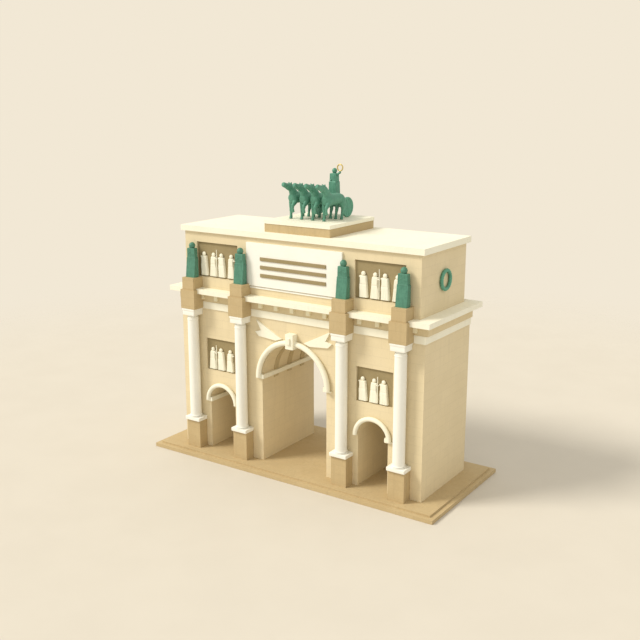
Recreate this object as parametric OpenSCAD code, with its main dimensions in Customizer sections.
// Three-bay masonry arch with columns, relief panels and a bronze four-horse chariot group.
// Frame: +Z up, +X along the front from left to right, the front faces -Y.
// Origin: centre of the footprint, at ground level. Millimetres.

/* [Steps] */
// Reach of the lower step beyond the walls
lower_step_reach = 1690; // [1450:10:2400]
// Height of the lower step
lower_step_h = 260; // [120:10:500]
// Reach of the upper step beyond the walls
upper_step_reach = 1350; // [1150:10:1440]
// Height of the upper step
upper_step_h = 130; // [80:10:400]

/* [Body] */
// Width of the body along the front
body_w = 20000; // [18600:50:26000]
// Depth of the body
body_d = 6400; // [4800:50:9000]
// Height of the bed joint above the side vaults
course_z = 6300; // [5800:50:6340]
// Height of the walls' top, under the architrave
wall_top_z = 10920; // [10750:10:12500]

/* [Central passage] */
// Clear width
central_w = 5400; // [4200:20:6200]
// Height of the springing line
central_spring_z = 6620; // [6500:10:7200]

/* [Side passages] */
// Clear width
side_w = 2280; // [1600:20:2600]
// Distance from the middle of the arch to a side passage's middle
side_x = 6350; // [6100:10:6600]
// Height of the springing line
side_spring_z = 4050; // [3000:10:4300]

/* [Arch mouldings] */
// Radius of the roll around the central arch
central_roll_r = 190; // [100:5:260]
// Radius of the rolls around the side arches
side_roll_r = 155; // [80:5:220]
// Height of the impost bands
impost_h = 300; // [160:10:400]
// How far the impost bands reach down below the springing line
impost_drop = 90; // [40:10:120]
// How far the impost bands stand out into the passages
impost_out = 200; // [80:5:260]
// How far the ends of the impost bands stand out of the walls
impost_reach = 150; // [60:5:220]
// Width of the vault ribs
rib_w = 480; // [200:10:800]
// How far the vault ribs stand out of the vault
rib_out = 55; // [30:5:90]
// Distance between the vault ribs
rib_pitch = 1620; // [900:10:2200]

/* [Keystone and wings] */
// Width of the keystones
keystone_w = 630; // [400:10:900]
// How far the keystones stand out of the wall
keystone_out = 530; // [420:10:800]
// Drop of the keystones below the crown of the vault
keystone_drop = 170; // [100:10:400]
// Height of the keystones' top above the crown of the vault
keystone_rise = 870; // [600:10:1100]
// Thickness of the wing reliefs
wing_t = 130; // [60:5:250]

/* [Columns] */
// Distance from the middle of the arch to the inner columns
inner_column_x = 4200; // [4050:10:4500]
// Distance from the middle of the arch to the outer columns
outer_column_x = 8580; // [8300:10:8900]
// Distance of the column axes from the wall
column_out = 500; // [450:5:600]
// Radius of the shafts
shaft_r = 410; // [300:5:440]
// Width of the pedestals
pedestal_w = 1190; // [1000:10:1250]
// How far the pedestals stand out of the wall
pedestal_out = 815; // [700:5:900]
// Height of the pedestals' top
pedestal_top_z = 2460; // [1800:10:3200]
// Width of the plinth slabs under the shafts
plinth_w = 1330; // [1260:10:1400]
// How far the plinth slabs stand out of the wall
plinth_out = 905; // [900:5:990]
// Height of the plinth slabs
plinth_h = 250; // [120:10:350]
// Height of the round base rings
base_ring_h = 110; // [60:10:200]
// Width of the capitals' blocks
capital_w = 1130; // [960:10:1200]
// How far the capitals' blocks stand out of the wall
capital_out = 1015; // [950:5:1100]
// Height of the capitals' blocks
capital_h = 490; // [300:10:650]
// Height of the necks between shaft and capital
neck_h = 150; // [80:10:240]
// Radius of the necks
neck_r = 330; // [220:5:380]

/* [Projecting blocks and their pedestals] */
// Width of the blocks that stand out over the columns
ressaut_w = 1270; // [1210:10:1340]
// How far these blocks stand out of the wall
ressaut_out = 1020; // [960:5:1120]
// Height of these blocks
ressaut_h = 1380; // [1250:10:1500]
// Width of the statues' pedestals
statue_pedestal_w = 1040; // [960:10:1200]
// How far the statues' pedestals stand out of the wall
statue_pedestal_out = 925; // [860:5:950]
// Height of the statues' pedestals
statue_pedestal_h = 870; // [500:10:1200]

/* [Entablature] */
// Height of the architrave
architrave_h = 510; // [350:10:700]
// Height of the frieze
frieze_h = 640; // [400:10:700]
// Height of the cornice
cornice_h = 350; // [250:10:560]
// How far the architrave stands out of the wall
architrave_out = 60; // [30:5:120]
// How far the frieze stands out of the end walls
frieze_end_out = 180; // [40:5:240]
// How far the cornice stands out at front and rear
cornice_out = 660; // [400:10:760]
// How far the cornice stands out at the ends
cornice_end_out = 580; // [400:10:760]
// Distance between the frieze blocks
frieze_block_pitch = 1330; // [1200:10:1500]
// Width of the frieze blocks
frieze_block_w = 290; // [150:10:360]

/* [Attic] */
// How far the attic stands back from the walls at the ends
attic_inset_x = 430; // [200:10:900]
// How far the attic stands back from the walls at front and rear
attic_inset_y = 90; // [40:5:140]
// Height of the attic's wall
attic_h = 4030; // [3600:10:5200]
// Height of the attic's cornice slab
attic_cornice_h = 400; // [200:10:600]
// How far the attic's cornice slab stands out at front and rear
attic_cornice_out = 180; // [120:10:400]
// How far the attic's cornice slab stands out at the ends
attic_cornice_end_out = 260; // [120:10:400]

/* [Relief panels] */
// Depth of the sunk panels
sinking = 190; // [120:5:260]
// Width of the lower panels
lower_panel_w = 2740; // [2400:10:2800]
// Height of the lower panels
lower_panel_h = 2350; // [2000:10:2600]
// Width of the attic panels
attic_panel_w = 3700; // [3400:10:3900]
// Height of the attic panels
attic_panel_h = 2480; // [2200:10:2700]
// Radius of the relief heads
relief_head_r = 135; // [100:5:180]

/* [Inscription panel] */
// Width of the raised panel
inscription_w = 7800; // [6600:20:8200]
// Height of the raised panel
inscription_h = 3000; // [2400:20:3200]
// How far the panel stands out of the attic
inscription_out = 150; // [60:5:200]
// Length of the three bars
bar_w = 5360; // [3000:20:6400]
// Height of each bar
bar_h = 240; // [120:10:320]

/* [Wreaths] */
// Radius of the wreaths to the middle of the ring
wreath_r = 610; // [400:10:1000]
// Radius of the wreaths' ring
wreath_ring_r = 125; // [70:5:150]

/* [Chariot group] */
// Width of the group's base
group_base_w = 5300; // [5000:20:7000]
// Depth of the group's base
group_base_d = 5540; // [5300:20:6000]
// Height of the group's base
group_base_h = 560; // [300:10:900]
// Height of the slab on the base
group_slab_h = 240; // [100:10:400]
// Distance between the horses
horse_pitch = 907; // [860:5:1000]
// Radius of the chariot's wheels
wheel_r = 690; // [600:10:800]
// Distance of the wheels' outer faces from the middle
wheel_x = 1270; // [1200:10:1400]
// Radius of the gold ring to the middle of its bar
ring_r = 225; // [150:5:280]

/* [Hidden] */
$fn = 64;

// Colours
WALL = [0.93, 0.84, 0.65];
TAN = [0.82, 0.72, 0.52];
PANEL = [0.70, 0.61, 0.42];
CREAM = [0.98, 0.95, 0.84];
WHITE = [0.99, 0.98, 0.94];
BRONZE = [0.33, 0.58, 0.47];
GOLD = [0.85, 0.68, 0.25];

// Levels, from the ground up
floor_z = lower_step_h + upper_step_h;
plinth_top_z = pedestal_top_z + plinth_h;
ring_top_z = plinth_top_z + base_ring_h;
capital_top_z = wall_top_z + 40;
capital_bottom_z = capital_top_z - capital_h;
shaft_top_z = capital_bottom_z - neck_h;
architrave_top_z = wall_top_z + architrave_h;
frieze_top_z = architrave_top_z + frieze_h;
cornice_top_z = frieze_top_z + cornice_h;
ressaut_top_z = capital_top_z + ressaut_h;
statue_z = ressaut_top_z + statue_pedestal_h;
attic_top_z = cornice_top_z + attic_h;
attic_cornice_top_z = attic_top_z + attic_cornice_h;
group_slab_z = attic_cornice_top_z + group_base_h;
group_z = group_slab_z + group_slab_h;

// Half sizes and wall faces
hw = body_w / 2;
hd = body_d / 2;
central_r = central_w / 2;
side_r = side_w / 2;
attic_hw = hw - attic_inset_x;
attic_hd = hd - attic_inset_y;
column_xs = [-outer_column_x, -inner_column_x, inner_column_x, outer_column_x];
central_crown_z = central_spring_z + central_r;
panel_back_t = 60;
boss_w = 260;
boss_h = 420;
boss_out = 110;
frieze_block_h = frieze_h - 180;
frieze_out = 15;
frieze_block_out = 220;
lower_panel_z = course_z + 80;
lower_panel_x = 6410;
attic_panel_z = cornice_top_z + 820;
attic_panel_x = 6640;
inscription_z = cornice_top_z + 680;
bar_t = 60;
bar_pitch = 570;
ledge_h = 120;
ledge_gap = 60;

// A box between two corners.
module span(a, b) {
    translate(a) cube(b - a);
}

// A box centred on x, from one y to another, standing on z.
module block(x, w, y0, y1, z, h) {
    span([x - w / 2, y0, z], [x + w / 2, y1, z + h]);
}

// The children on the front and, turned half round, on the rear.
module both_fronts() {
    for (turn = [0, 180]) rotate([0, 0, turn]) children();
}

// The children at each column of the front.
module at_columns() {
    for (x = column_xs) translate([x, 0, 0]) children();
}

// The air of a vaulted passage, from z0 up to the crown, run past both wall faces.
module passage(x, r, spring_z, z0) {
    past = 1000;
    translate([x, hd + past, spring_z]) rotate([90, 0, 0]) cylinder(r = r, h = body_d + 2 * past);
    span([x - r, -hd - past, z0 - 10], [x + r, hd + past, spring_z]);
}

// A half ring of round section standing on the springing line, against the front wall.
module roll(x, r, spring_z, roll_r) {
    translate([x, -hd - roll_r, spring_z]) rotate([90, 0, 0])
        rotate_extrude(angle = 180, $fn = 180) translate([r + roll_r, 0]) circle(r = roll_r, $fn = 64);
}

// A rod of round section between two points, each with its own radius.
module bone(a, ra, b, rb) {
    hull() {
        translate(a) sphere(r = ra, $fn = 8);
        translate(b) sphere(r = rb, $fn = 8);
    }
}

// A slice with rounded corners.
module slice(w, d, r, z) {
    translate([0, 0, z]) linear_extrude(2) hull()
        for (sx = [-1, 1], sy = [-1, 1])
            translate([sx * (w / 2 - r), sy * (d / 2 - r)]) circle(r = r, $fn = 12);
}

// ---- Steps ----

module lower_step() {
    color(TAN) span([-hw - lower_step_reach, -hd - lower_step_reach, 0],
                    [hw + lower_step_reach, hd + lower_step_reach, lower_step_h]);
}

module upper_step() {
    color(TAN) span([-hw - upper_step_reach, -hd - upper_step_reach, lower_step_h],
                    [hw + upper_step_reach, hd + upper_step_reach, floor_z]);
}

// ---- Walls ----

// An outer pier, from the side passage to the end wall; side is -1 left, 1 right.
module outer_pier(side) {
    x0 = side_x + side_r;
    color(WALL) block(side * (x0 + hw) / 2, hw - x0, -hd, hd, floor_z, side_spring_z - floor_z);
}

// An inner pier, between the central and a side passage.
module inner_pier(side) {
    x1 = side_x - side_r;
    color(WALL) block(side * (central_r + x1) / 2, x1 - central_r, -hd, hd,
                      floor_z, side_spring_z - floor_z);
}

module pier_outer_left() { outer_pier(-1); }
module pier_inner_left() { inner_pier(-1); }
module pier_inner_right() { inner_pier(1); }
module pier_outer_right() { outer_pier(1); }

// The masonry around a side vault, up to the bed joint.
module side_arch(side) {
    color(WALL) difference() {
        block(side * (central_r + hw) / 2, hw - central_r, -hd, hd,
              side_spring_z, course_z - side_spring_z);
        passage(side * side_x, side_r, side_spring_z, side_spring_z);
    }
}

module side_arch_left() { side_arch(-1); }
module side_arch_right() { side_arch(1); }

// The masonry around the central vault, between the inner columns' axes.
module central_arch() {
    color(WALL) difference() {
        block(0, 2 * inner_column_x, -hd, hd, course_z, wall_top_z - course_z);
        passage(0, central_r, central_spring_z, course_z);
    }
}

// The sinking of a lower relief panel, cut in from the front.
module lower_sinking(side, depth) {
    block(side * lower_panel_x, lower_panel_w, -hd - 10, -hd + depth, lower_panel_z, lower_panel_h);
}

// The wall over a side vault, with a sunk panel on each face.
module bay_wall(side) {
    color(WALL) difference() {
        block(side * (inner_column_x + hw) / 2, hw - inner_column_x, -hd, hd,
              course_z, wall_top_z - course_z);
        lower_sinking(side, sinking);
        rotate([0, 0, 180]) lower_sinking(-side, sinking);
    }
}

module bay_wall_left() { bay_wall(-1); }
module bay_wall_right() { bay_wall(1); }

// ---- Lower reliefs ----

// A standing figure in relief: a tapered robe with a round head, its back on the panel.
module relief_figure(x, y, z, h, foot_w, shoulder_w, t) {
    neck_z = h - 2 * relief_head_r;
    slope = 60;
    translate([x, y, z]) {
        rotate([90, 0, 0]) linear_extrude(t) polygon([
            [-foot_w / 2, 0], [foot_w / 2, 0], [shoulder_w / 2, neck_z - slope],
            [shoulder_w / 2 - slope, neck_z], [slope - shoulder_w / 2, neck_z],
            [-shoulder_w / 2, neck_z - slope]
        ]);
        difference() {
            translate([0, -t / 2, neck_z + relief_head_r - 30]) sphere(r = relief_head_r);
            translate([-relief_head_r, 0, neck_z - 60]) cube(3 * relief_head_r);
        }
    }
}

// A staff held between two figures.
module relief_staff(x, y, z, h, t) {
    block(x, 70, y - t, y, z, h);
}

// Where the figures and the staff stand, from the middle of a panel.
LOWER_FIGURES = [-840, -40, 750];
LOWER_STAFF_LEFT = -400;
LOWER_STAFF_RIGHT = 300;
ATTIC_FIGURES = [-1290, -385, 280, 1195];
ATTIC_STAFF = -30;

module lower_panel_pair() {
    for (side = [-1, 1])
        block(side * lower_panel_x, lower_panel_w, -hd + sinking - panel_back_t, -hd + sinking,
              lower_panel_z, lower_panel_h);
}

module lower_relief_panels() {
    color(PANEL) both_fronts() lower_panel_pair();
}

module lower_relief_figures() {
    y = -hd + sinking - panel_back_t;
    t = sinking - panel_back_t - 10;
    z = lower_panel_z + 90;
    h = lower_panel_h - 680;
    color(CREAM) both_fronts() for (side = [-1, 1]) {
        for (x = LOWER_FIGURES)
            relief_figure(side * lower_panel_x + x, y, z, h, 580, 500, t);
        staff = side < 0 ? LOWER_STAFF_LEFT : LOWER_STAFF_RIGHT;
        relief_staff(side * lower_panel_x + staff, y, z, h + 260, t - 40);
    }
}

// ---- Arch trim ----

// The central roll is in two halves, which stop at the keystone.
module central_archivolts() {
    color(CREAM) both_fronts() difference() {
        roll(0, central_r, central_spring_z, central_roll_r);
        keystone_body();
    }
}

module side_archivolts() {
    color(CREAM) both_fronts() for (side = [-1, 1])
        roll(side * side_x, side_r, side_spring_z, side_roll_r);
}

// An impost band along one jamb of a passage, from front to rear; edge is -1 or 1, the jamb's side.
// It follows the vault above the springing line, and its ends return under the feet of the rolls.
module impost(x, r, spring_z, edge, roll_r) {
    jamb = x + edge * r;
    inner = jamb - edge * impost_out;
    outer = jamb + edge * (2 * roll_r + 40);
    z0 = spring_z - impost_drop;
    intersection() {
        span([min(jamb, inner), -hd - impost_reach, z0],
             [max(jamb, inner), hd + impost_reach, z0 + impost_h]);
        passage(x, r, spring_z, z0);
    }
    for (face = [-1, 1])
        span([min(jamb, outer), min(face * hd, face * (hd + impost_reach)), z0],
             [max(jamb, outer), max(face * hd, face * (hd + impost_reach)), spring_z]);
}

module central_imposts() {
    color(CREAM) difference() {
        for (side = [-1, 1]) impost(0, central_r, central_spring_z, side, central_roll_r);
        rib_set();
    }
}

// The side passages have a band on their outer jamb only.
module side_imposts() {
    color(CREAM) for (side = [-1, 1]) impost(side * side_x, side_r, side_spring_z, side, side_roll_r);
}

// Ribs across the central vault, running behind the imposts and ending on the jambs under them.
module rib_set() {
    for (i = [-1, 0, 1]) translate([0, i * rib_pitch - rib_w / 2, 0]) {
        translate([0, rib_w, central_spring_z]) rotate([90, 0, 0]) linear_extrude(rib_w)
            difference() {
                circle(r = central_r);
                circle(r = central_r - rib_out);
                translate([-2 * central_r, -4 * central_r]) square(4 * central_r);
            }
        for (side = [-1, 1])
            span([min(side * central_r, side * (central_r - rib_out)), 0, central_spring_z - 330],
                 [max(side * central_r, side * (central_r - rib_out)), rib_w, central_spring_z]);
    }
}

module vault_ribs() {
    color(PANEL) rib_set();
}

module keystone_body() {
    block(0, keystone_w, -hd - keystone_out, -hd, central_crown_z - keystone_drop,
          keystone_drop + keystone_rise);
}

// A keystone with a small boss low on its face.
module keystones() {
    face_y = -hd - keystone_out;
    color(CREAM) both_fronts() {
        keystone_body();
        block(-40, boss_w, face_y - boss_out, face_y, central_crown_z + 190, boss_h);
    }
}

// Outline of a wing beside the keystone, drawn for a crown at WING_CROWN_Z: it follows the crown.
WING_CROWN_Z = 9320;
WING = [[920, 9650], [1250, 9805], [2050, 10215], [3060, 10735], [2680, 10040],
        [3180, 9900], [2860, 9600], [1420, 9480]];

module spandrel_wings() {
    rise = central_crown_z - WING_CROWN_Z;
    color(CREAM) both_fronts() for (side = [0, 1]) mirror([side, 0, 0])
        translate([0, -hd, rise]) rotate([90, 0, 0]) linear_extrude(wing_t) polygon(WING);
}

// ---- Columns ----

module column_pedestals() {
    color(TAN) both_fronts() at_columns()
        block(0, pedestal_w, -hd - pedestal_out, -hd, floor_z, pedestal_top_z - floor_z);
}

module column_bases() {
    color(WHITE) both_fronts() at_columns() {
        block(0, plinth_w, -hd - plinth_out, -hd, pedestal_top_z, plinth_h);
        translate([0, -hd - column_out, plinth_top_z])
            cylinder(r1 = shaft_r + 55, r2 = shaft_r + 15, h = base_ring_h);
    }
}

module column_shafts() {
    color(WHITE) both_fronts() at_columns()
        translate([0, -hd - column_out, ring_top_z]) cylinder(r = shaft_r, h = shaft_top_z - ring_top_z);
}

module capitals() {
    color(WHITE) both_fronts() at_columns() {
        translate([0, -hd - column_out, shaft_top_z]) cylinder(r = neck_r, h = neck_h);
        block(0, capital_w, -hd - capital_out, -hd, capital_bottom_z, capital_h);
    }
}

// ---- Entablature ----

module ressaut_row() {
    at_columns() block(0, ressaut_w, -hd - ressaut_out, -hd, capital_top_z, ressaut_h);
}

module statue_pedestal_row() {
    at_columns() block(0, statue_pedestal_w, -hd - statue_pedestal_out, -hd + attic_inset_y,
                       ressaut_top_z, statue_pedestal_h);
}

module capital_row() {
    at_columns() block(0, capital_w, -hd - capital_out, -hd, capital_bottom_z, capital_h);
}

module ressaut_blocks() {
    color(TAN) both_fronts() ressaut_row();
}

module statue_pedestals() {
    color(TAN) both_fronts() difference() {
        statue_pedestal_row();
        span([-hw, -hd, 0], [hw, hd, cornice_top_z]);
    }
}

// A course around the building, cut round the blocks that stand out over the columns.
module course(end_out, out, z, h) {
    difference() {
        span([-hw - end_out, -hd - out, z], [hw + end_out, hd + out, z + h]);
        both_fronts() {
            ressaut_row();
            capital_row();
            difference() {
                statue_pedestal_row();
                span([-hw, -hd, 0], [hw, hd, cornice_top_z]);
            }
        }
    }
}

module architrave() {
    color(CREAM) course(architrave_out, architrave_out, wall_top_z, architrave_h);
}

module frieze() {
    color(PANEL) course(frieze_end_out, frieze_out, architrave_top_z, frieze_h);
}

// The places of the frieze blocks along the front. The projecting blocks hide some of them.
frieze_steps = floor((hw - frieze_block_w) / frieze_block_pitch);

module frieze_blocks() {
    color(CREAM) both_fronts() difference() {
        for (i = [-frieze_steps:frieze_steps])
            block(i * frieze_block_pitch, frieze_block_w, -hd - frieze_block_out, -hd - frieze_out,
                  frieze_top_z - frieze_block_h, frieze_block_h);
        ressaut_row();
    }
}

module cornice() {
    color(CREAM) course(cornice_end_out, cornice_out, frieze_top_z, cornice_h);
}

// ---- Attic ----

module attic_sinking(side) {
    block(side * attic_panel_x, attic_panel_w, -attic_hd - 10, -attic_hd + sinking,
          attic_panel_z, attic_panel_h);
}

module attic() {
    color(WALL) difference() {
        span([-attic_hw, -attic_hd, cornice_top_z], [attic_hw, attic_hd, attic_top_z]);
        both_fronts() for (side = [-1, 1]) attic_sinking(side);
    }
}

module attic_relief_panels() {
    color(PANEL) both_fronts() for (side = [-1, 1])
        block(side * attic_panel_x, attic_panel_w, -attic_hd + sinking - panel_back_t,
              -attic_hd + sinking, attic_panel_z, attic_panel_h);
}

module attic_relief_figures() {
    y = -attic_hd + sinking - panel_back_t;
    t = sinking - panel_back_t - 10;
    z = attic_panel_z + 100;
    h = attic_panel_h - 715;
    color(CREAM) both_fronts() for (side = [-1, 1]) {
        for (x = ATTIC_FIGURES)
            relief_figure(side * attic_panel_x + x, y, z, h, 600, 520, t);
        relief_staff(side * attic_panel_x + ATTIC_STAFF, y, z, h + 250, t - 40);
    }
}

module inscription_panels() {
    color(WHITE) both_fronts() difference() {
        union() {
            block(0, inscription_w, -attic_hd - inscription_out, -attic_hd,
                  inscription_z, inscription_h);
            block(0, inscription_w, -attic_hd - inscription_out / 2, -attic_hd,
                  inscription_z - ledge_h - ledge_gap, ledge_h);
        }
        statue_pedestal_row();
    }
}

module inscription_bars() {
    y = -attic_hd - inscription_out;
    mid = inscription_z + inscription_h / 2 - 140;
    color(PANEL) both_fronts() for (i = [-1, 0, 1])
        block(0, bar_w, y - bar_t, y, mid + i * bar_pitch - bar_h / 2, bar_h);
}

module attic_cornice() {
    x = attic_hw + attic_cornice_end_out;
    y = attic_hd + attic_cornice_out;
    color(CREAM) span([-x, -y, attic_top_z], [x, y, attic_cornice_top_z]);
}

module wreaths() {
    z = cornice_top_z + attic_h / 2;
    color(BRONZE) for (side = [-1, 1])
        translate([side * (attic_hw + wreath_ring_r), 0, z]) rotate([0, 90, 0])
            rotate_extrude() translate([wreath_r, 0]) circle(r = wreath_ring_r);
}

// ---- Statues ----

// A robed standing figure: a skirt with an upright back, the upper body and the head.
STATUE_FOOT_D = 500;

module statue() {
    back = STATUE_FOOT_D / 2;
    hull() {
        slice(820, STATUE_FOOT_D, 70, 0);
        translate([0, back - 170, 0]) slice(820, 340, 70, 1350);
    }
    hull() {
        translate([0, back - 170, 0]) slice(740, 340, 60, 1350);
        translate([0, back - 180, 0]) slice(690, 360, 60, 2030);
        translate([0, back - 180, 0]) slice(620, 300, 60, 2080);
    }
    translate([0, back - 175, 2250]) sphere(r = 225, $fn = 16);
}

module statues() {
    edge = 260;
    y = -hd - statue_pedestal_out + edge + STATUE_FOOT_D / 2;
    color(BRONZE) both_fronts() at_columns() translate([0, y, statue_z]) statue();
}

// ---- Chariot group ----

module group_base() {
    color(WALL) span([-group_base_w / 2, -group_base_d / 2, attic_cornice_top_z],
                     [group_base_w / 2, group_base_d / 2, group_slab_z]);
}

module group_slab() {
    reach = 35;
    color(CREAM) span([-group_base_w / 2 - reach, -group_base_d / 2 - reach, group_slab_z],
                      [group_base_w / 2 + reach, group_base_d / 2 + reach, group_z]);
}

// A striding horse facing the front, one foreleg raised; its feet stand at z = 0.
module horse() {
    for (s = [-1, 1]) bone([s * 90, -1160, 1390], 310, [s * 90, 400, 1400], 300);
    bone([0, -1060, 1480], 290, [0, -1500, 2180], 160);
    bone([0, -1560, 2150], 160, [0, -2180, 2360], 115);
    bone([-200, -1130, 1200], 130, [-210, -1170, 60], 60);
    bone([200, -1150, 1200], 130, [205, -1560, 960], 80);
    bone([205, -1560, 960], 75, [205, -1530, 560], 55);
    bone([-200, 400, 1250], 160, [-215, 260, 60], 60);
    bone([200, 400, 1250], 160, [215, 330, 60], 60);
    bone([0, 560, 1500], 80, [0, 800, 900], 50);
    for (leg = [[-210, -1170], [-215, 260], [215, 330]])
        translate([leg[0], leg[1], 0]) cylinder(r = 80, h = 110, $fn = 12);
}

module horses() {
    color(BRONZE) for (i = [-1.5:1:1.5]) translate([i * horse_pitch, 0, group_z]) horse();
}

// The open car: a floor, a round front and two cheeks, with its axle and pole.
module chariot() {
    floor_t = 90;
    axle_r = 60;
    car_h = 540;
    color(BRONZE) translate([0, 0, group_z]) difference() {
        union() {
            translate([0, 1650, wheel_r + axle_r]) cylinder(r = 620, h = car_h);
            span([-620, 1650, wheel_r + axle_r], [620, 2250, wheel_r + axle_r + car_h]);
            translate([-wheel_x + 180, 1650, wheel_r]) rotate([0, 90, 0])
                cylinder(r = axle_r, h = 2 * (wheel_x - 180));
            span([-45, -300, wheel_r + 20], [45, 1650, wheel_r + 110]);
        }
        translate([0, 1650, wheel_r + axle_r + floor_t]) cylinder(r = 540, h = 1000);
        span([-540, 1650, wheel_r + axle_r + floor_t], [540, 2400, wheel_r + 1400]);
    }
}

module chariot_wheels() {
    color(BRONZE) for (side = [-1, 1])
        translate([side * (wheel_x - 90), 1650, group_z + wheel_r]) rotate([0, 90, 0])
            cylinder(r = wheel_r, h = 180, center = true);
}

// The driver stands in the car, one arm raised with the ring on the fist.
stand_z = group_z + wheel_r + 150;
driver_y = 1820;
fist = [470, driver_y, stand_z + 2150];
fist_r = 45;
fist_h = 90;

module charioteer() {
    color(BRONZE) {
        translate([0, driver_y, stand_z]) {
            hull() {
                slice(680, 620, 100, 0);
                slice(590, 550, 100, 1490);
            }
            hull() {
                slice(520, 490, 100, 1490);
                slice(500, 460, 100, 2090);
            }
            translate([30, 0, 2245]) sphere(r = 175, $fn = 16);
        }
        bone([200, driver_y, stand_z + 1960], 65, fist, fist_r);
        translate(fist) cylinder(r = fist_r, h = fist_h);
    }
}

module gold_ring() {
    bar_r = 36;
    color(GOLD) translate(fist + [0, 0, fist_h + ring_r + bar_r])
        rotate([90, 0, 0]) rotate_extrude() translate([ring_r, 0]) circle(r = bar_r, $fn = 32);
}

lower_step();
upper_step();
pier_outer_left();
pier_inner_left();
pier_inner_right();
pier_outer_right();
side_arch_left();
side_arch_right();
central_arch();
bay_wall_left();
bay_wall_right();
lower_relief_panels();
lower_relief_figures();
central_archivolts();
side_archivolts();
central_imposts();
side_imposts();
vault_ribs();
keystones();
spandrel_wings();
column_pedestals();
column_bases();
column_shafts();
capitals();
ressaut_blocks();
statue_pedestals();
statues();
architrave();
frieze();
frieze_blocks();
cornice();
attic();
attic_relief_panels();
attic_relief_figures();
inscription_panels();
inscription_bars();
attic_cornice();
wreaths();
group_base();
group_slab();
horses();
chariot();
chariot_wheels();
charioteer();
gold_ring();
